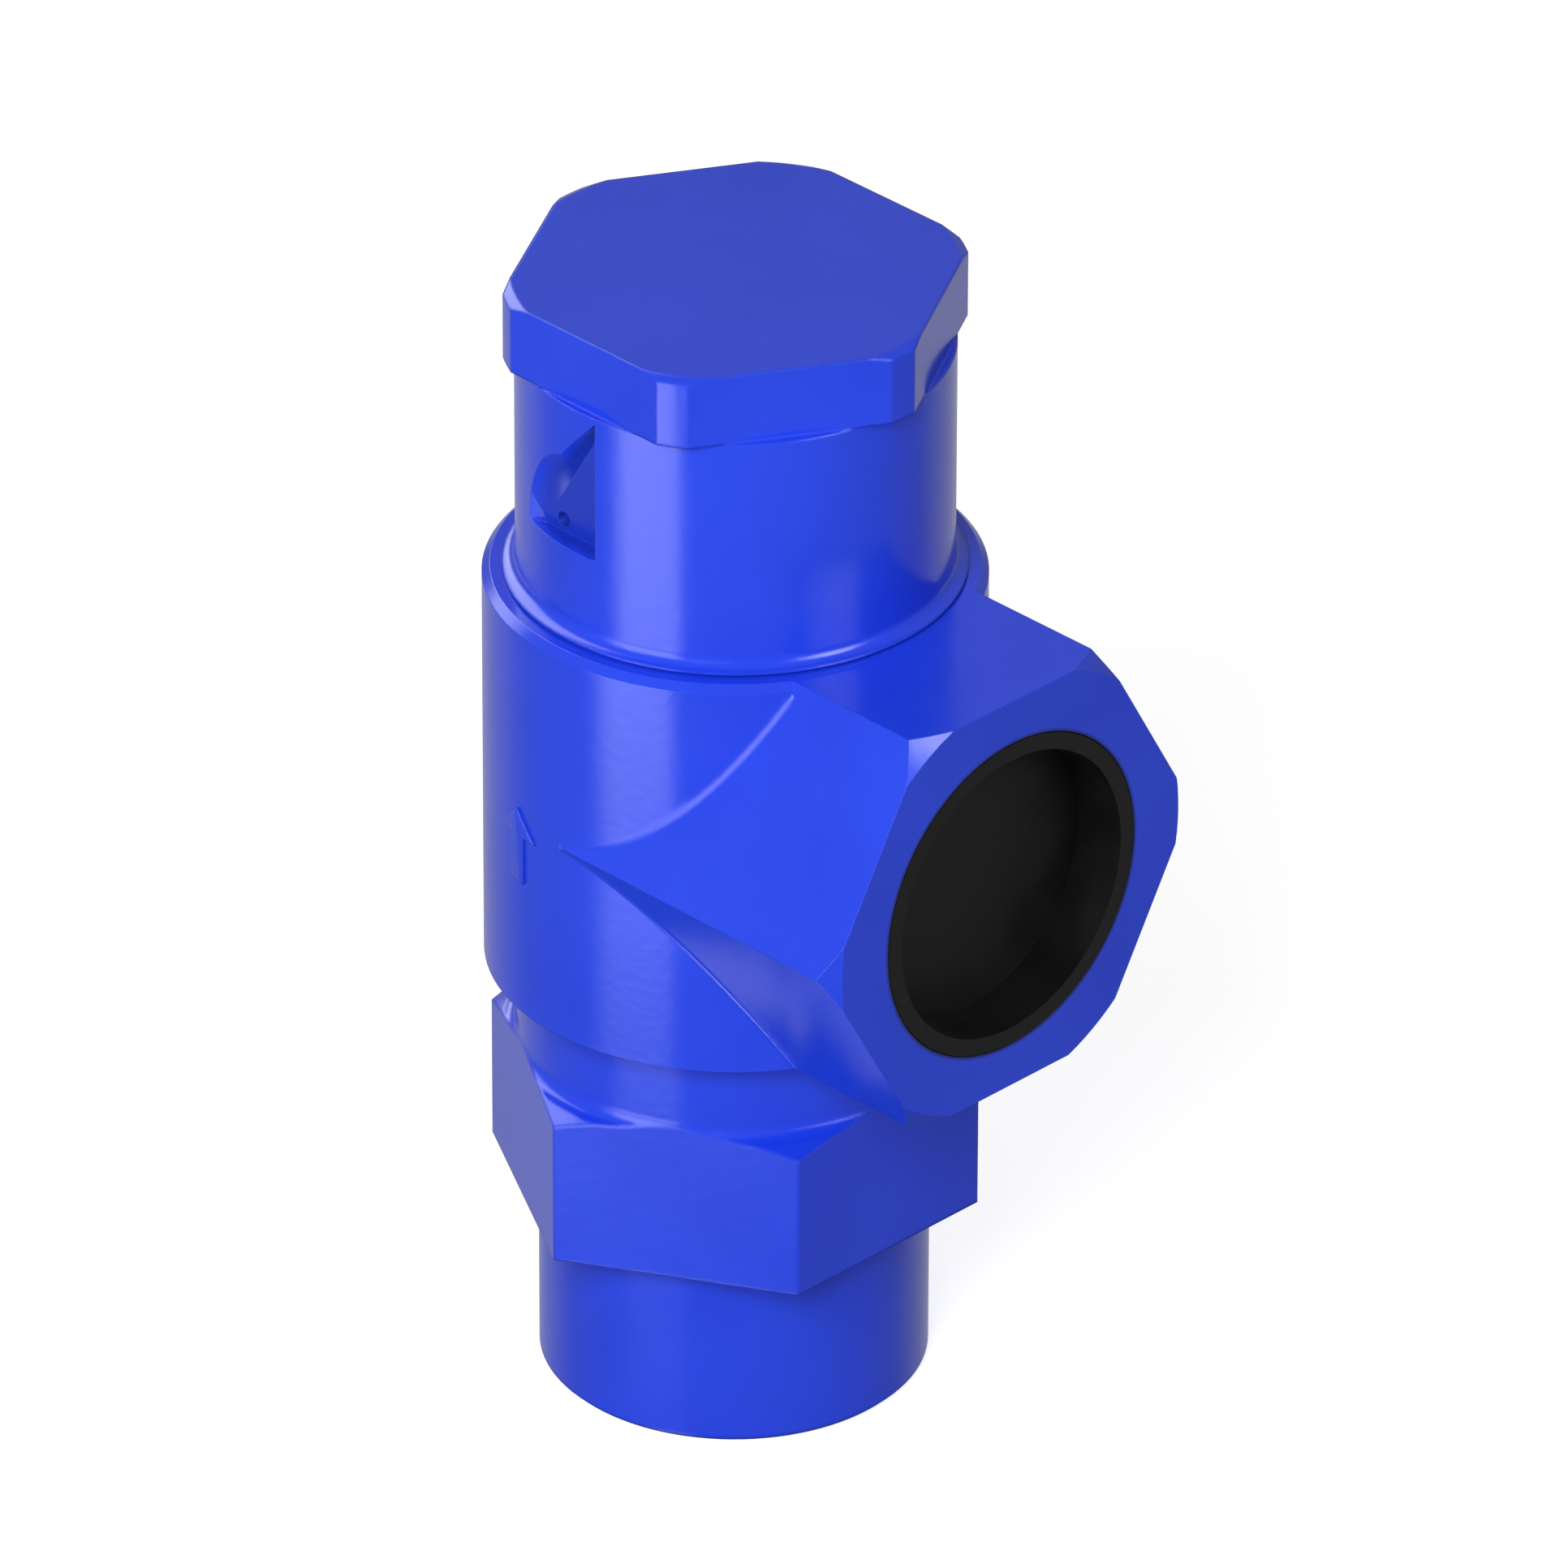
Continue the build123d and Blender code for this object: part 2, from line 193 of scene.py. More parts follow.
studio = {
    "keyAzimuth": -62, "keyHeight": 33, "keyDistance": 0.62, "keySize": 0.33, "keyPower": 3.2,
    "keyAim": (0, 0, 0.095),
    "roomLight": 0.30, "roomLow": 0.1, "roomLevel": 0.3, "roomHigh": 0.42,
    "lowRise": (-50, -35), "highRise": (-5, 15),
    "boxes": [
        {"turn": (-107, -73), "turnSoft": (7, 2), "rise": (-60, 33), "riseSoft": 5, "glow": 4.9},
        {"turn": (-6, 22), "turnSoft": (10, 4), "rise": (22, 48), "riseSoft": 5, "glow": 10.2},
        {"turn": (150, 200), "turnSoft": (6, 6), "rise": (12, 62), "riseSoft": 5, "glow": 4.0},
    ],
    "floorSize": 12.0, "floorShade": 0.6, "floorGlow": 0.78,
}
# The lower room is a round screen, so that what the walls reflect changes with their height
screen = {
    "radius": 0.6, "bottom": -0.62, "steps": 96, "mirrorDrop": 0.352,
    "boxFoot": 0.01, "boxFull": 0.135, "boxCurve": 1.55,
    "boxDim": 0.4, "boxDimLow": 0.15, "boxDimHigh": 0.25,
    "wallTurn": 135, "wallHalf": 62, "wallSoft": 12, "wallFoot": 0.45, "wallTop": 0.52,
    "wallLow": 0.03, "wallHigh": 0.13, "fadeLow": -0.2, "fadeHigh": -0.03,
}


def makeLamp(v):
    data = bpy.data.lights.new("keyLamp", "AREA")
    data.shape = "DISK"
    data.size = v["keySize"]
    data.energy = v["keyPower"]
    lamp = bpy.data.objects.new("keyLamp", data)
    bpy.context.scene.collection.objects.link(lamp)
    turn, lift = radians(v["keyAzimuth"]), radians(v["keyHeight"])
    towards = Vector((cos(turn) * cos(lift), sin(turn) * cos(lift), sin(lift)))
    lamp.location = Vector(v["keyAim"]) + towards * v["keyDistance"]
    lamp.rotation_euler = (-towards).to_track_quat("-Z", "Y").to_euler()
    lamp.visible_glossy = False


def boxGlow(g, box, turn, rise):
    # how brightly a soft box shines towards this azimuth and height
    start, end = box["turn"]
    softStart, softEnd = box["turnSoft"]
    if end > 180:  # the box reaches over the seam behind -X
        turn = g.maths("WRAP", turn, 360, 0)
    across = g.between(turn, start - softStart, start + softStart) * (
        1 - g.between(turn, end - softEnd, end + softEnd))
    return across * g.band(rise, *box["rise"], box["riseSoft"]) * box["glow"]


def makeWorld(v):
    # white to the camera, even light on what is matt, and the soft boxes for what is glossy
    world = bpy.data.worlds.new("studioRoom")
    bpy.context.scene.world = world
    world.use_nodes = True
    world.node_tree.nodes.clear()
    world.cycles.sampling_method = "NONE"
    g = Graph(world.node_tree)
    x, y, z = g.parts(g.node("ShaderNodeTexCoord", {}, {}, out="Generated"))
    turn = g.maths("ARCTAN2", y, x) * inDegrees
    rise = g.maths("ARCSINE", z) * inDegrees
    reflected = v["roomLow"] + (v["roomLevel"] - v["roomLow"]) * g.between(rise, *v["lowRise"]) + (
        v["roomHigh"] - v["roomLevel"]) * g.between(rise, *v["highRise"])
    for box in v["boxes"]:
        reflected = reflected + boxGlow(g, box, turn, rise)
    isCamera = g.node("ShaderNodeLightPath", {}, {}, out="Is Camera Ray")
    isGlossy = g.node("ShaderNodeLightPath", {}, {}, out="Is Glossy Ray")
    plain = (1 - isCamera) * (1 - isGlossy) * v["roomLight"]
    light = g.node("ShaderNodeBackground", {}, {
        "Color": (1, 1, 1, 1), "Strength": isCamera + isGlossy * reflected + plain})
    g.node("ShaderNodeOutputWorld", {}, {"Surface": light}, out=None)


def makeScreen(v, room):
    # seen in reflections alone; mirrorDrop turns its own height into the height on the valve's
    # upright walls that mirrors it
    radius, steps = v["radius"], v["steps"]
    ring = [(radius * cos(2 * pi * i / steps), radius * sin(2 * pi * i / steps))
            for i in range(steps)]
    corners = [(x, y, z) for z in (v["bottom"], 0.0) for x, y in ring]
    faces = [(i, (i + 1) % steps, steps + (i + 1) % steps, steps + i) for i in range(steps)]
    mesh = bpy.data.meshes.new("reflectorScreen")
    mesh.from_pydata(corners, [], faces)
    thing = bpy.data.objects.new("reflectorScreen", mesh)
    bpy.context.scene.collection.objects.link(thing)
    material = bpy.data.materials.new("reflectorScreen")
    material.use_nodes = True
    material.node_tree.nodes.clear()
    material.cycles.emission_sampling = "NONE"
    g = Graph(material.node_tree)
    x, y, z = g.parts(g.node("ShaderNodeTexCoord", {}, {}, out="Object"))
    height = z + v["mirrorDrop"]
    turn = g.maths("ARCTAN2", y, x) * inDegrees
    away = g.maths("ABSOLUTE", g.maths("WRAP", turn - v["wallTurn"], 180, -180))
    wall = 1 - g.between(away, v["wallHalf"] - v["wallSoft"], v["wallHalf"] + v["wallSoft"])
    wallGlow = g.node("ShaderNodeMapRange", {}, {
        "Value": height, "From Min": v["wallLow"], "From Max": v["wallHigh"],
        "To Min": v["wallFoot"], "To Max": v["wallTop"]})
    level = room["roomLevel"] + wall * (wallGlow - room["roomLevel"])
    faded = g.between(height, v["fadeLow"], v["fadeHigh"])
    level = room["roomLow"] + faded * (level - room["roomLow"])
    ramp = g.node("ShaderNodeMapRange", {}, {
        "Value": height, "From Min": v["boxFoot"], "From Max": v["boxFull"]})
    dimmed = 1 - (1 - v["boxDim"]) * g.between(height, v["boxDimLow"], v["boxDimHigh"])
    box = ramp ** v["boxCurve"] * dimmed * boxGlow(g, room["boxes"][0], turn, 0.0)
    lit = g.node("ShaderNodeEmission", {}, {"Strength": level + box})
    g.node("ShaderNodeOutputMaterial", {}, {"Surface": lit}, out=None)
    mesh.materials.append(material)
    for kind in ("camera", "diffuse", "transmission", "volume_scatter", "shadow"):
        setattr(thing, "visible_" + kind, False)


def makeFloor(v):
    # pale and shadowed from above, clear from below
    half = v["floorSize"] / 2
    mesh = bpy.data.meshes.new("studioFloor")
    mesh.from_pydata([(-half, -half, 0), (half, -half, 0), (half, half, 0), (-half, half, 0)],
                     [], [(0, 1, 2, 3)])
    floor = bpy.data.objects.new("studioFloor", mesh)
    bpy.context.scene.collection.objects.link(floor)
    material = bpy.data.materials.new("paleFloor")
    material.use_nodes = True
    material.node_tree.nodes.clear()
    g = Graph(material.node_tree)
    shade = v["floorShade"]
    matt = g.node("ShaderNodeBsdfDiffuse", {}, {"Color": (shade, shade, shade, 1)})
    isCamera = g.node("ShaderNodeLightPath", {}, {}, out="Is Camera Ray")
    glow = g.node("ShaderNodeEmission", {}, {"Strength": isCamera * v["floorGlow"]})
    lit = g.node("ShaderNodeAddShader", {}, {0: matt, 1: glow})
    clear = g.node("ShaderNodeBsdfTransparent", {}, {})
    fromBelow = g.node("ShaderNodeNewGeometry", {}, {}, out="Backfacing")
    both = g.node("ShaderNodeMixShader", {}, {0: fromBelow, 1: lit, 2: clear})
    g.node("ShaderNodeOutputMaterial", {}, {"Surface": both}, out=None)
    mesh.materials.append(material)
    floor.visible_glossy = False


makeLamp(studio)
makeWorld(studio)
makeScreen(screen, studio)
makeFloor(studio)
print("studio lit")


# Finishes. Every material reads Object coordinates, which are millimetres after this


def newFinish(name):
    material = bpy.data.materials.new(name)
    material.use_nodes = True
    material.node_tree.nodes.clear()
    g = Graph(material.node_tree)
    place = g.node("ShaderNodeTexCoord", {}, {}, out="Object")
    point = g.node("ShaderNodeVectorMath", {"operation": "SCALE"}, {
        "Vector": place, "Scale": 1 / mm})
    return material, g, point


bluePaint = {
    "colour": (0.012, 0.052, 0.74, 1), "thin": (0.016, 0.062, 0.80, 1),
    # the colour of painted shade, for gaps, joints and recesses
    "shade": (0.003, 0.010, 0.10, 1),
    "roughness": 0.16, "cloudRough": 0.06, "shadeRough": 0.3, "ior": 1.5,
    "clouds": 0.05, "peel": 0.9, "peelDepth": 0.012, "edgeSamples": 6,
}
bareSteel = {
    "colour": (0.56, 0.55, 0.53, 1), "dull": (0.36, 0.35, 0.34, 1),
    "roughness": 0.32, "stainRough": 0.15, "stains": 0.35, "grooves": 7.0, "grooveDepth": 0.02,
}


def paintedFinish(name, bareWhere, shadeWhere, edgeWhere):
    # gloss enamel, with turned bare steel where bareWhere is 1, and painted shade (the paint
    # darker and rougher) where the shade mask is; edgeWhere says how far the paint rounds an edge
    p, s = bluePaint, bareSteel
    material, g, point = newFinish(name)
    x, y, z = g.parts(point)
    radius = g.maths("SQRT", x * x + y * y)
    bare = bareWhere(g, x, y, z, radius)
    dull = shadeWhere(g, x, y, z, radius)
    cloud = g.noise(point, p["clouds"], 3.0)
    peel = g.noise(point, p["peel"], 2.0, 0.4)
    # painted shade: where the dull mask is 1 the paint turns to the dark shade colour
    colour = g.mix(dull, g.mix(g.between(cloud, 0.3, 0.7), p["colour"], p["thin"]), p["shade"])
    soft = g.node("ShaderNodeBevel", {"samples": p["edgeSamples"]}, {
        "Radius": edgeWhere(g, x, y, z, radius) * mm})
    skin = g.node("ShaderNodeBump", {}, {
        "Strength": 1.0, "Distance": p["peelDepth"] * mm, "Height": peel, "Normal": soft})
    paint = g.node("ShaderNodeBsdfPrincipled", {}, {
        "Base Color": colour, "IOR": p["ior"], "Normal": skin,
        "Roughness": p["roughness"] + p["cloudRough"] * cloud + p["shadeRough"] * dull})
    groove = g.noise(g.joined(radius, z, 0.0), s["grooves"], 3.0, 0.6)
    stain = g.noise(point, s["stains"], 4.0)
    metalColour = g.mix(g.between(stain, 0.35, 0.75), s["colour"], s["dull"])
    metalSkin = g.node("ShaderNodeBump", {}, {
        "Strength": 1.0, "Distance": s["grooveDepth"] * mm, "Height": groove})
    metal = g.node("ShaderNodeBsdfPrincipled", {}, {
        "Base Color": metalColour, "Metallic": 1.0, "Normal": metalSkin,
        "Roughness": s["roughness"] + s["stainRough"] * stain})
    shown = g.node("ShaderNodeMixShader", {}, {0: bare, 1: paint, 2: metal})
    g.node("ShaderNodeOutputMaterial", {}, {"Surface": shown}, out=None)
    return material


def under(g, value, limit):
    return g.maths("LESS_THAN", value, limit)


def over(g, value, limit):
    return g.maths("GREATER_THAN", value, limit)


# Where each painted piece is bare, darker with painted shade, or rounder at its edges, in
# millimetres

bodyCoat = {
    "spigotR": 18.3, "chamberR": 23.0, "chamberFoot": 47.5, "chamberTop": 91.6,
    "boreR": 17.2, "boreFrom": 14.0, "ringR": (17.35, 17.9), "ringFrom": 36.0,
    "edge": 0.12, "arcEdge": 1.02, "arcR": 26.8, "arcFoot": 72.0, "arcTop": 90.2,
}
nozzleCoat = {
    "boreR": 13.3, "shoulder": 46.25, "shade": 0.7, "shadeRise": (45.8, 46.2), "shadeR": 20.0,
    "edge": 0.6,
}
capCoat = {
    "cavityR": 18.15, "cavityTop": 120.0,
    "shade": 0.4, "notchR": (20.8, 21.9), "notchFront": -8.0, "notchFoot": 95.0, "notchTop": 117.3,
    "edge": 0.5, "notchEdge": 0.12, "sharpFoot": 98.0, "sharpTop": 117.2,
}
arrowCoat = {"shade": 0.5, "footR": (25.5, 25.68), "edge": 0.3}


def portRadius(g, y, z):
    # distance from the outlet's axis
    above = z - outletHeight
    return g.maths("SQRT", y * y + above * above)


def bodyBare(g, x, y, z, radius):
    # the spigot, the inside, and the outlet's threads behind its mouth
    v = bodyCoat
    spigot = under(g, radius, v["spigotR"])
    chamber = under(g, radius, v["chamberR"]) * over(g, z, v["chamberFoot"]) * (
        under(g, z, v["chamberTop"]))
    port = under(g, portRadius(g, y, z), v["boreR"]) * over(g, x, v["boreFrom"])
    return g.maths("MAXIMUM", g.maths("MAXIMUM", spigot, chamber), port)


def bodyShade(g, x, y, z, radius):
    # painted shade: a dark ring in the mouth, round the plug, where the gap between them lies in
    # shade
    v = bodyCoat
    return (1 - g.between(portRadius(g, y, z), *v["ringR"])) * over(g, x, v["ringFrom"])


def bodyEdge(g, x, y, z, radius):
    # paint lies thickest in the arc where the boss meets the barrel, above its axis
    v = bodyCoat
    arc = under(g, radius, v["arcR"]) * over(g, z, v["arcFoot"]) * under(g, z, v["arcTop"])
    return v["edge"] + (v["arcEdge"] - v["edge"]) * arc


def nozzleBare(g, x, y, z, radius):
    # the inlet's thread, and all that stands inside the body
    v = nozzleCoat
    return g.maths("MAXIMUM", under(g, radius, v["boreR"]), over(g, z, v["shoulder"]))


def nozzleShade(g, x, y, z, radius):
    # painted shade on the joint under the body
    v = nozzleCoat
    return v["shade"] * g.between(z, *v["shadeRise"]) * over(g, radius, v["shadeR"])


def nozzleEdge(g, x, y, z, radius):
    return nozzleCoat["edge"]


def capBare(g, x, y, z, radius):
    # the cavity
    v = capCoat
    return under(g, radius, v["cavityR"]) * under(g, z, v["cavityTop"])


def capShade(g, x, y, z, radius):
    # painted shade on the floor of the seal wire's notch, darker the deeper it lies
    v = capCoat
    deep = 1 - g.between(radius, *v["notchR"])
    return v["shade"] * deep * under(g, y, v["notchFront"]) * (
        under(g, z, v["notchTop"]) * over(g, z, v["notchFoot"]))


def capEdge(g, x, y, z, radius):
    # rounder at the foot and the head than round the notch
    v = capCoat
    sharp = over(g, z, v["sharpFoot"]) * under(g, z, v["sharpTop"])
    return v["edge"] - (v["edge"] - v["notchEdge"]) * sharp


def arrowBare(g, x, y, z, radius):
    return 0.0  # painted all over


def arrowShade(g, x, y, z, radius):
    # painted shade: a darker line where it grows out of the body
    v = arrowCoat
    return v["shade"] * (1 - g.between(radius, *v["footR"]))


def arrowEdge(g, x, y, z, radius):
    return arrowCoat["edge"]


def setFinish(node, material):
    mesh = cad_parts[node].data
    mesh.materials.clear()
    mesh.materials.append(material)


setFinish("valve_body", paintedFinish("enamelBody", bodyBare, bodyShade, bodyEdge))
setFinish("inlet_nozzle", paintedFinish("enamelNozzle", nozzleBare, nozzleShade, nozzleEdge))
setFinish("cap", paintedFinish("enamelCap", capBare, capShade, capEdge))


def turnedFinish(name, v):
    # lathe-turned part: fine rings round the valve's axis, with a cloudy stain over them
    material, g, point = newFinish(name)
    x, y, z = g.parts(point)
    radius = g.maths("SQRT", x * x + y * y)
    groove = g.noise(g.joined(radius, z, 0.0), v["grooves"], 3.0, 0.6)
    stain = g.between(g.noise(point, v["stainScale"], 4.0), 0.35, 0.7)
    colour = g.mix(stain * v["stainShare"], v["colour"], v["stain"])
    skin = g.node("ShaderNodeBump", {}, {
        "Strength": 1.0, "Distance": v["grooveDepth"] * mm, "Height": groove})
    shader = g.node("ShaderNodeBsdfPrincipled", {}, {
        "Base Color": colour, "Metallic": v["metallic"],
        "Roughness": v["roughness"] + v["stainRough"] * stain, "IOR": v.get("ior", 1.5),
        "Normal": skin})
    g.node("ShaderNodeOutputMaterial", {}, {"Surface": shader}, out=None)
    return material


turned = {
    "stainless": {
        "colour": (0.62, 0.61, 0.59, 1), "stain": (0.48, 0.47, 0.45, 1), "metallic": 1.0,
        "roughness": 0.2, "stainRough": 0.12, "stainShare": 0.6, "stainScale": 0.3,
        "grooves": 6.0, "grooveDepth": 0.015},
    "bronze": {
        "colour": (0.66, 0.40, 0.17, 1), "stain": (0.40, 0.20, 0.08, 1), "metallic": 1.0,
        "roughness": 0.24, "stainRough": 0.2, "stainShare": 0.7, "stainScale": 0.25,
        "grooves": 5.0, "grooveDepth": 0.02},
    "zinc": {
        "colour": (0.68, 0.66, 0.56, 1), "stain": (0.52, 0.54, 0.44, 1), "metallic": 1.0,
        "roughness": 0.3, "stainRough": 0.15, "stainShare": 0.8, "stainScale": 0.6,
        "grooves": 4.0, "grooveDepth": 0.012},
    "copper": {
        "colour": (0.80, 0.40, 0.25, 1), "stain": (0.42, 0.17, 0.10, 1), "metallic": 1.0,
        "roughness": 0.3, "stainRough": 0.25, "stainShare": 0.8, "stainScale": 0.4,
        "grooves": 5.0, "grooveDepth": 0.01},
    "whitePtfe": {
        "colour": (0.84, 0.84, 0.82, 1), "stain": (0.76, 0.76, 0.73, 1), "metallic": 0.0,
        "roughness": 0.38, "stainRough": 0.1, "stainShare": 0.5, "stainScale": 0.3,
        "grooves": 4.0, "grooveDepth": 0.012},
    "gasketFibre": {
        "colour": (0.16, 0.20, 0.13, 1), "stain": (0.32, 0.33, 0.24, 1), "metallic": 0.0,
        "roughness": 0.75, "stainRough": 0.1, "stainShare": 1.0, "stainScale": 2.5,
        "grooves": 3.0, "grooveDepth": 0.03},
    "blackPlastic": {
        "colour": (0.0025, 0.0025, 0.0025, 1), "stain": (0.004, 0.004, 0.004, 1), "metallic": 0.0,
        "roughness": 0.42, "stainRough": 0.12, "stainShare": 1.0, "stainScale": 0.2, "ior": 1.38,
        "grooves": 0.5, "grooveDepth": 0.01},
}
finishes = {name: turnedFinish(name + "Finish", values) for name, values in turned.items()}
nodeFinish = {
    "guide_sleeve": "bronze", "adjusting_gland": "bronze", "lock_ring": "bronze",
    "piston": "stainless", "disc_retainer": "stainless", "disc_screw": "stainless",
    "thrust_ball": "stainless", "seat_disc": "whitePtfe", "lower_spring_plate": "zinc",
    "upper_spring_plate": "zinc", "nozzle_gasket": "copper", "cap_gasket": "gasketFibre",
    "outlet_plug": "blackPlastic", "spring": "stainless",
}
for node, finish in nodeFinish.items():
    setFinish(node, finishes[finish])
print("finishes on every node")


# Pieces made here: threads, the spring and the flow arrow


def newTree(name, sizes):
    # an empty Geometry Nodes tree with one named input for each size, of that value's kind
    tree = bpy.data.node_groups.new(name, "GeometryNodeTree")
    for key, value in sizes.items():
        kind = {int: "NodeSocketInt", tuple: "NodeSocketVector"}.get(type(value), "NodeSocketFloat")
        if isinstance(value, bpy.types.Material):
            kind = "NodeSocketMaterial"
        tree.interface.new_socket(key, in_out="INPUT", socket_type=kind)
    tree.interface.new_socket("Geometry", in_out="OUTPUT", socket_type="NodeSocketGeometry")
    g = Graph(tree)
    entry = g.node("NodeGroupInput", {}, {}, out=None)
    return tree, g, {key: Wire(g, entry.outputs[key]) for key in sizes}


def finishTree(g, shape, material):
    # every tree ends in real geometry with its material on
    whole = g.node("GeometryNodeRealizeInstances", {}, {0: shape})
    done = g.node("GeometryNodeSetMaterial", {}, {"Geometry": whole, "Material": material})
    g.node("NodeGroupOutput", {}, {0: done}, out=None)


def grown(name, tree, sizes, crease=35):
    # runs the tree once with these sizes and keeps its result as a plain mesh
    thing = bpy.data.objects.new(name, bpy.data.meshes.new(name))
    bpy.context.scene.collection.objects.link(thing)
    maker = thing.modifiers.new("maker", "NODES")
    maker.node_group = tree
    for item in tree.interface.items_tree:
        if item.in_out == "INPUT":
            maker[item.identifier] = sizes[item.name]
    evaluated = thing.evaluated_get(bpy.context.evaluated_depsgraph_get())
    result = bpy.data.meshes.new_from_object(evaluated)
    thing.modifiers.remove(maker)
    thing.data = result
    result.shade_smooth()
    result.set_sharp_from_angle(angle=radians(crease))
    return thing


def helixLine(g, first, turns, steps, height, radius, phase):
    # a curve that climbs with its angle; height and radius are functions of the turns so far,
    # which it counts from first
    line = g.node("GeometryNodeCurvePrimitiveLine", {}, {"End": (0, 0, 1)})
    fine = g.node("GeometryNodeResampleCurve", {}, {
        "Curve": line, "Count": g.maths("ROUND", turns * steps) + 1})
    along = g.node("GeometryNodeSplineParameter", {}, {}, out="Factor") * turns + first
    angle = (along + phase) * (2 * pi)
    reach = radius(along)
    spot = g.joined(reach * g.maths("COSINE", angle), reach * g.maths("SINE", angle), height(along))
    bent = g.node("GeometryNodeSetPosition", {}, {"Geometry": fine, "Position": spot})
    return g.node("GeometryNodeSetCurveNormal", {"mode": "Z_UP"}, {"Curve": bent})


def makeThreadTree():
    # one helical ridge whose ends run out into the wall that carries it
    sizes = {
        "Turns": 1.0, "Pitch": 1.0, "Start": 0.0, "Radius": 1.0, "Taper": 0.0, "Phase": 0.0,
        "Crest Width": 0.1, "Wall Width": 0.5, "Depth": 0.5, "Root": 0.1, "Side": 1.0,
        "Run Out": 0.4, "Steps": 64.0, "Swing": (0, 0, 0), "Shift": (0, 0, 0),
        "Finish": bpy.data.materials[0]}
    tree, g, v = newTree("threadRidge", sizes)

    def reach(along):
        rising = g.between(along, 0.0, v["Run Out"])
        falling = g.between(along, v["Turns"] - v["Run Out"], v["Turns"])
        sunk = 1 - rising * (1 - falling)
        return v["Radius"] - along * v["Pitch"] * v["Taper"] - v["Side"] * v["Depth"] * sunk

    def climb(along):
        return v["Start"] + along * v["Pitch"]

    helix = helixLine(g, 0.0, v["Turns"], v["Steps"], climb, reach, v["Phase"])
    slope = (v["Wall Width"] - v["Crest Width"]) / v["Depth"]
    outline = g.node("GeometryNodeCurvePrimitiveQuadrilateral", {"mode": "TRAPEZOID"}, {
        "Height": v["Depth"] + v["Root"], "Top Width": v["Crest Width"],
        "Bottom Width": v["Wall Width"] + slope * v["Root"], "Offset": 0.0})
    lifted = g.node("GeometryNodeTransform", {}, {
        "Geometry": outline, "Translation": g.joined(0.0, (v["Depth"] - v["Root"]) * 0.5, 0.0)})
    facing = g.node("GeometryNodeTransform", {}, {
        "Geometry": lifted, "Rotation": g.joined(0.0, 0.0, v["Side"] * (-pi / 2))})
    ridge = g.node("GeometryNodeCurveToMesh", {}, {
        "Curve": helix, "Profile Curve": facing, "Fill Caps": True})
    placed = g.node("GeometryNodeTransform", {}, {
        "Geometry": ridge, "Rotation": v["Swing"], "Translation": v["Shift"]})
    finishTree(g, placed, v["Finish"])
    return tree


def makeThread(name, body, finish, v):
    # heights and radii in millimetres; side is 1 on a male thread and -1 on a female one
    turns = (v["end"] - v["start"]) / v["pitch"]
    sizes = {
        "Turns": turns, "Pitch": v["pitch"] * mm, "Start": v["start"] * mm,
        "Radius": v["wall"] * mm, "Taper": v.get("taper", 0.0), "Phase": v.get("phase", 0.0),
        "Crest Width": v["crest"] * mm, "Wall Width": v["root"] * mm, "Depth": v["depth"] * mm,
        "Root": v.get("sunk", 0.1) * mm, "Side": float(v["side"]), "Run Out": ridge["runOut"],
        "Steps": ridge["steps"], "Swing": v.get("swing", (0, 0, 0)),
        "Shift": v.get("shift", (0, 0, 0)), "Finish": finish}
    thing = grown(name, threadTree, sizes)
    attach(thing, body)


threadTree = makeThreadTree()
ridge = {"runOut": 0.35, "steps": 64.0}  # both in turns: how far an end fades, and its fineness
fine = {"pitch": 1.5, "crest": 0.15, "root": 1.25, "depth": 0.95}
taperPipe = {"pitch": 1.814, "crest": 0.2, "root": 1.45, "depth": 1.0, "side": -1}
wider = {"pitch": 2.209, "side": -1, "swing": (0, pi / 2, 0), "shift": (0, 0, outletHeight * mm)}
threads = {
    "spigotThread": ("shell", "stainless_steel", "bareSteel", {
        **fine, "side": 1, "wall": 17.05, "start": 92.5, "end": 101.9}),
    "capThread": ("cap", "stainless_steel", "bareSteel", {
        **fine, "side": -1, "wall": 18.05, "start": 93.25, "end": 103.4}),
    "glandThread": ("gland", "bronze", "bronze", {
        **fine, "side": 1, "wall": 14.05, "start": 94.5, "end": 100.0}),
    "spigotBoreThread": ("shell", "stainless_steel", "bareSteel", {
        **fine, "side": -1, "wall": 15.05, "start": 93.0, "end": 101.9, "phase": 0.5}),
    "nozzleThread": ("shell", "stainless_steel", "bareSteel", {
        **fine, "side": 1, "wall": 17.05, "start": 48.0, "end": 55.5}),
    "bodyThread": ("shell", "stainless_steel", "bareSteel", {
        **fine, "side": -1, "wall": 18.05, "start": 48.0, "end": 56.0, "phase": 0.5}),
    "inletThread": ("shell", "stainless_steel", "bareSteel", {
        **taperPipe, "wall": 13.1, "start": 1.3, "end": 14.6, "taper": 1 / 32, "sunk": 0.55}),
    "portMouthThread": ("shell", "stainless_steel", "bareSteel", {
        **wider, "wall": 16.55, "start": 29.6, "end": 36.0,
        "crest": 1.0, "root": 1.5, "depth": 0.42}),
    "portThread": ("shell", "stainless_steel", "bareSteel", {
        **wider, "wall": 16.2, "start": 20.2, "end": 28.2,
        "crest": 0.45, "root": 1.65, "depth": 1.0}),
}
finishes["bareSteel"] = turnedFinish("bareSteelFinish", {
    "colour": bareSteel["colour"], "stain": bareSteel["dull"], "metallic": 1.0,
    "roughness": bareSteel["roughness"], "stainRough": bareSteel["stainRough"], "stainShare": 1.0,
    "stainScale": bareSteel["stains"], "grooves": bareSteel["grooves"],
    "grooveDepth": bareSteel["grooveDepth"]})
for name, (body, slot, finish, values) in threads.items():
    makeThread(name, body, finishes[finish], values)
print("threads cut:", len(threads))
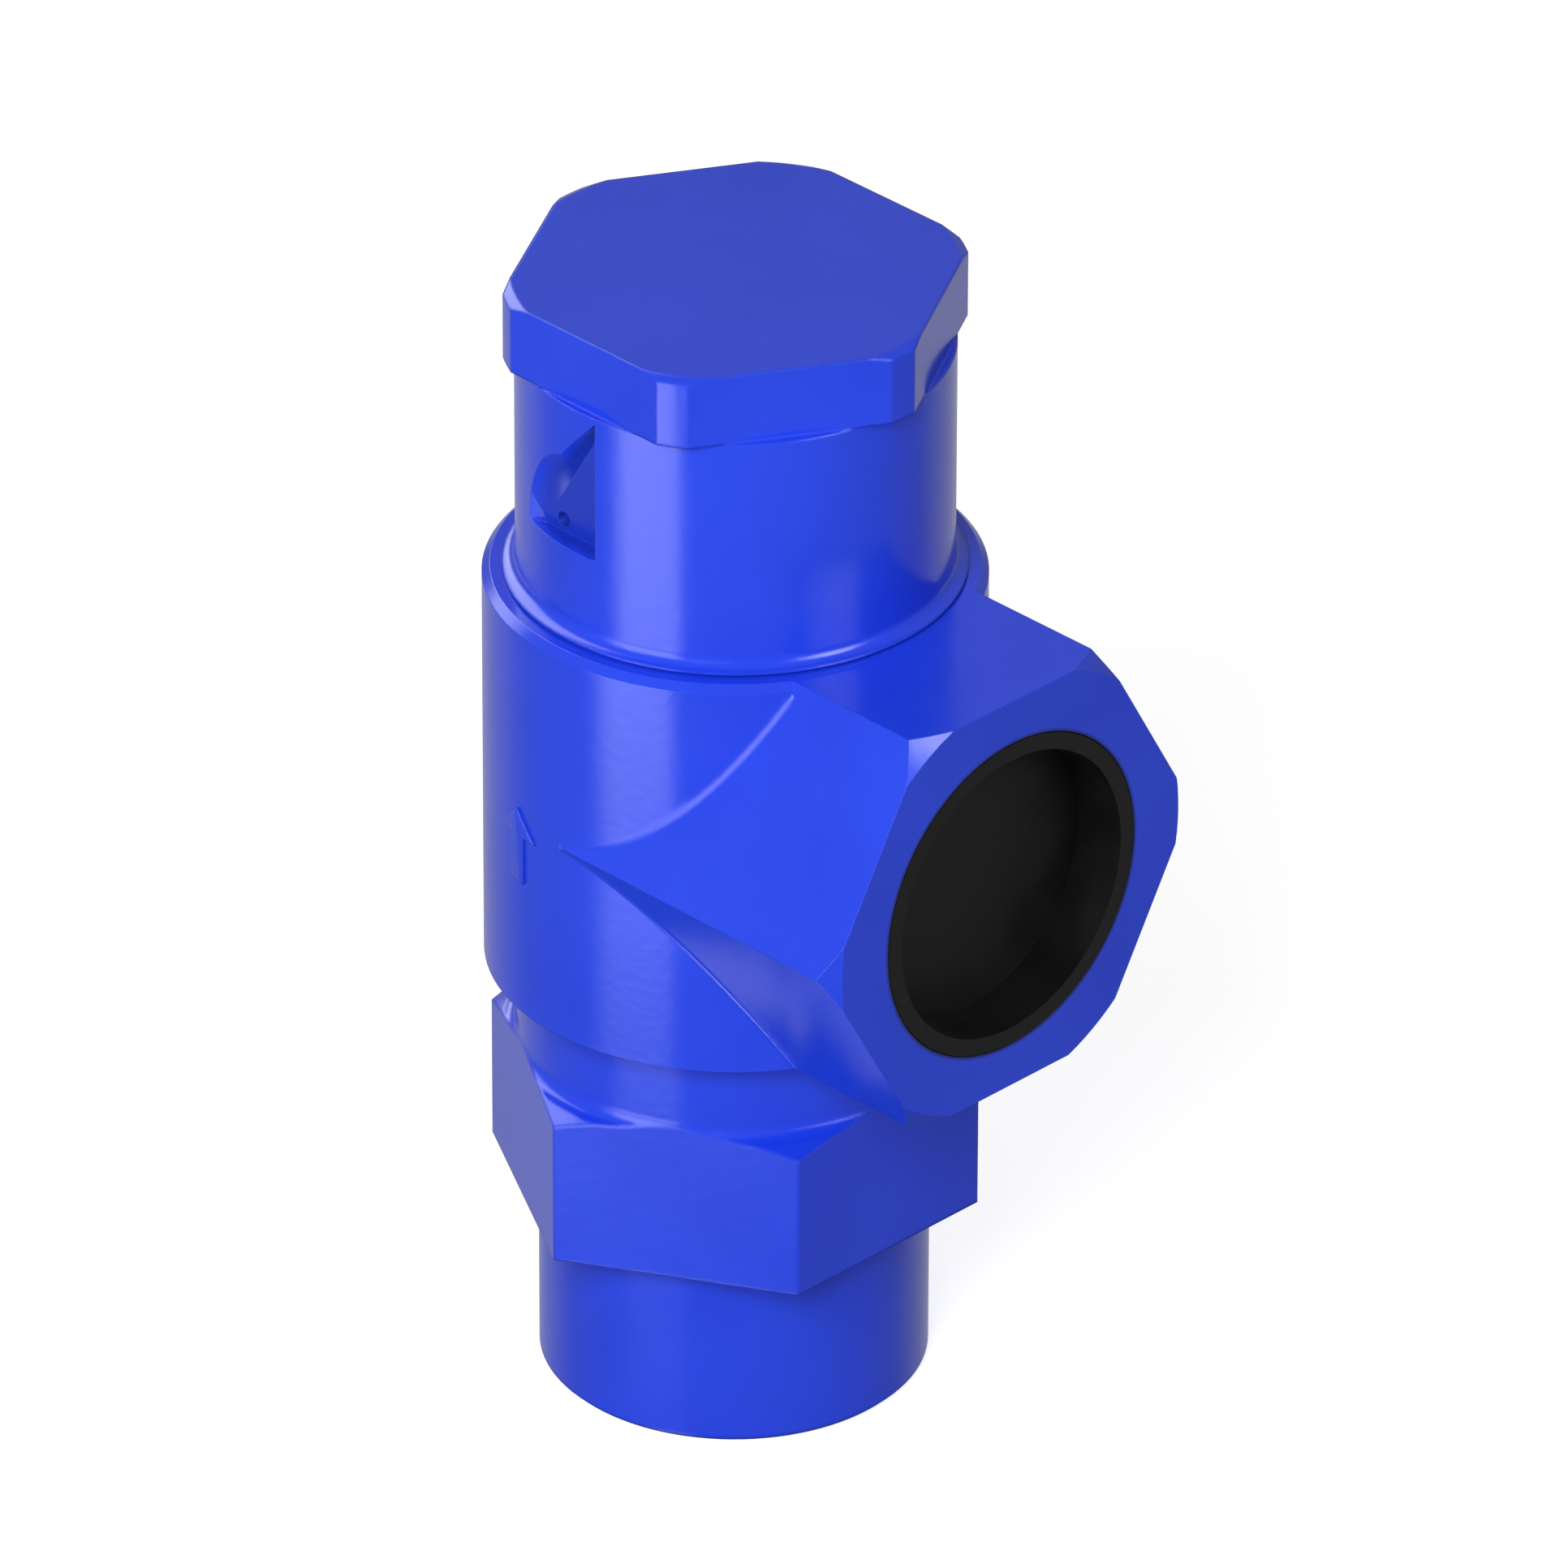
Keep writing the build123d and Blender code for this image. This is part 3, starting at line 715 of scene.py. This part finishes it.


# Compression spring: closed and ground ends, drawn wire, wound as a lower and an upper half
# that meet halfway

springValues = {
    "meanRadius": 8.5, "wire": 1.4, "turns": 8.0, "foot": 70.9, "top": 105.65, "endPitch": 2.86,
    "endInset": 0.6, "endTurns": 0.9, "endHeight": 3.0, "steps": 48, "sides": 20,
}
drawnWire = {
    "colour": (0.20, 0.19, 0.185, 1), "oiled": (0.09, 0.085, 0.08, 1), "oilScale": 0.22,
    "around": 26.0, "along": 40.0, "drawDepth": 0.02, "roughness": 0.28, "drawRough": 0.2,
}


def wireFinish(name, v):
    # fine marks along the wire, and oil in patches
    material, g, point = newFinish(name)
    along = g.node("ShaderNodeAttribute", {"attribute_name": "along"}, {}, out="Fac")
    around = g.node("ShaderNodeAttribute", {"attribute_name": "around"}, {}, out="Fac")
    drawn = g.noise(g.joined(around * v["around"], along * v["along"], 0.0), 1.0, 3.0, 0.6)
    oiled = g.between(g.noise(point, v["oilScale"], 3.0), 0.35, 0.7)
    colour = g.mix(oiled, v["colour"], v["oiled"])
    skin = g.node("ShaderNodeBump", {}, {
        "Strength": 1.0, "Distance": v["drawDepth"] * mm, "Height": drawn})
    shader = g.node("ShaderNodeBsdfPrincipled", {}, {
        "Base Color": colour, "Metallic": 1.0, "Normal": skin,
        "Roughness": v["roughness"] + v["drawRough"] * drawn})
    g.node("ShaderNodeOutputMaterial", {}, {"Surface": shader}, out=None)
    return material


def makeSpring(v):
    start = v["foot"] + v["endInset"]
    spare = v["top"] - v["endInset"] - start - v["turns"] * v["endPitch"]
    sizes = {
        "First Turn": 0.0, "Turns": v["turns"] / 2, "All Turns": v["turns"],
        "End Turns": v["endTurns"], "Mean Radius": v["meanRadius"] * mm,
        "Wire Radius": v["wire"] * mm, "Bottom": start * mm, "End Pitch": v["endPitch"] * mm,
        "Spare Height": spare * mm, "Ground Foot": v["foot"] * mm, "Ground Top": v["top"] * mm,
        "Steps": float(v["steps"]), "Sides": v["sides"],
        "Finish": wireFinish("drawnWire", drawnWire)}
    tree, g, w = newTree("coilSpring", sizes)

    def climb(along):
        # the end turns lie close and the others share the height that is left
        opened = g.node("ShaderNodeMapRange", {}, {
            "Value": along, "From Min": w["End Turns"],
            "From Max": w["All Turns"] - w["End Turns"]})
        return w["Bottom"] + along * w["End Pitch"] + opened * w["Spare Height"]

    helix = helixLine(g, w["First Turn"], w["Turns"], w["Steps"], climb,
                      lambda turned: w["Mean Radius"], 0.0)
    marked = g.node("GeometryNodeStoreNamedAttribute", {}, {
        "Geometry": helix, "Name": "along", "Value": g.node("GeometryNodeSplineParameter", {}, {})})
    ring = g.node("GeometryNodeCurvePrimitiveCircle", {}, {
        "Resolution": w["Sides"], "Radius": w["Wire Radius"]})
    ringMarked = g.node("GeometryNodeStoreNamedAttribute", {}, {
        "Geometry": ring, "Name": "around", "Value": g.node("GeometryNodeSplineParameter", {}, {})})
    wire = g.node("GeometryNodeCurveToMesh", {}, {
        "Curve": marked, "Profile Curve": ringMarked, "Fill Caps": True})
    x, y, z = g.parts(g.node("GeometryNodeInputPosition", {}, {}))
    flat = g.maths("MINIMUM", g.maths("MAXIMUM", z, w["Ground Foot"]), w["Ground Top"])
    ground = g.node("GeometryNodeSetPosition", {}, {
        "Geometry": wire, "Position": g.joined(x, y, flat)})
    finishTree(g, ground, w["Finish"])
    middle = (v["foot"] + v["top"]) / 2 * mm
    foot, top = (v["foot"] + v["endHeight"]) * mm, (v["top"] - v["endHeight"]) * mm
    halves = [("springLower", 0.0, "piston", "shell", foot, middle),
              ("springUpper", v["turns"] / 2, "shell", "upper_plate", middle, top)]
    for name, first, below, above, low, high in halves:
        half = grown(name, tree, {**sizes, "First Turn": first}, 40)
        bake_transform(half)
        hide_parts("spring")


makeSpring(springValues)
print("spring wound")


# Raised arrow on the body that shows which way the flow enters

arrowValues = {
    "azimuth": -103.0, "bodyRadius": 25.4, "raise": 0.35, "sunk": 0.2, "tip": 71.0, "foot": 62.6,
    "headHalf": 3.0, "headHeight": 3.0, "shaftHalf": 1.1, "slice": 0.7,
    "round": 0.16, "roundSteps": 2, "roundShape": 0.6, "crease": 30,
}


def makeArrow(v, finish):
    # drawn flat as (sideways, height, reach), cut in slices, then wrapped round the body
    neck = v["tip"] - v["headHeight"]
    right = [(0, v["tip"]), (v["headHalf"], neck),
             (v["shaftHalf"], neck), (v["shaftHalf"], v["foot"])]
    outline = right + [(-s, z) for s, z in reversed(right[1:])]
    shape = bmesh.new()
    low, high = v["bodyRadius"] - v["sunk"], v["bodyRadius"] + v["raise"]
    base = shape.faces.new([shape.verts.new((s, z, low)) for s, z in outline])
    lifted = bmesh.ops.extrude_face_region(shape, geom=[base])["geom"]
    top = [item for item in lifted if isinstance(item, bmesh.types.BMFace)][0]
    bmesh.ops.translate(shape, verts=top.verts, vec=(0, 0, high - low))
    bmesh.ops.bevel(shape, geom=list(top.edges), offset=v["round"], segments=v["roundSteps"],
                    profile=v["roundShape"], affect="EDGES")
    cut = -v["headHalf"] + v["slice"]
    while cut < v["headHalf"]:
        bmesh.ops.bisect_plane(shape, geom=shape.verts[:] + shape.edges[:] + shape.faces[:],
                               plane_co=(cut, 0, 0), plane_no=(1, 0, 0))
        cut += v["slice"]
    for vert in shape.verts:
        s, z, reach = vert.co
        turn = radians(v["azimuth"]) + s / v["bodyRadius"]
        vert.co = (reach * cos(turn) * mm, reach * sin(turn) * mm, z * mm)
    bmesh.ops.recalc_face_normals(shape, faces=shape.faces[:])
    # numbered by place, because the steps above don't keep one order from run to run
    corners = sorted(shape.verts, key=lambda vert: [round(part, 7) for part in vert.co])
    number = {vert: i for i, vert in enumerate(corners)}
    faces = []
    for face in shape.faces:
        ring = [number[vert] for vert in face.verts]
        first = ring.index(min(ring))
        faces.append(ring[first:] + ring[:first])
    mesh = bpy.data.meshes.new("flowArrow")
    mesh.from_pydata([vert.co.copy() for vert in corners], [], sorted(faces))
    shape.free()
    mesh.materials.append(finish)
    mesh.shade_smooth()
    mesh.set_sharp_from_angle(angle=radians(v["crease"]))
    thing = bpy.data.objects.new("flowArrow", mesh)
    bpy.context.scene.collection.objects.link(thing)
    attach(thing, "shell")


makeArrow(arrowValues, paintedFinish("enamelArrow", arrowBare, arrowShade, arrowEdge))
print("arrow raised")
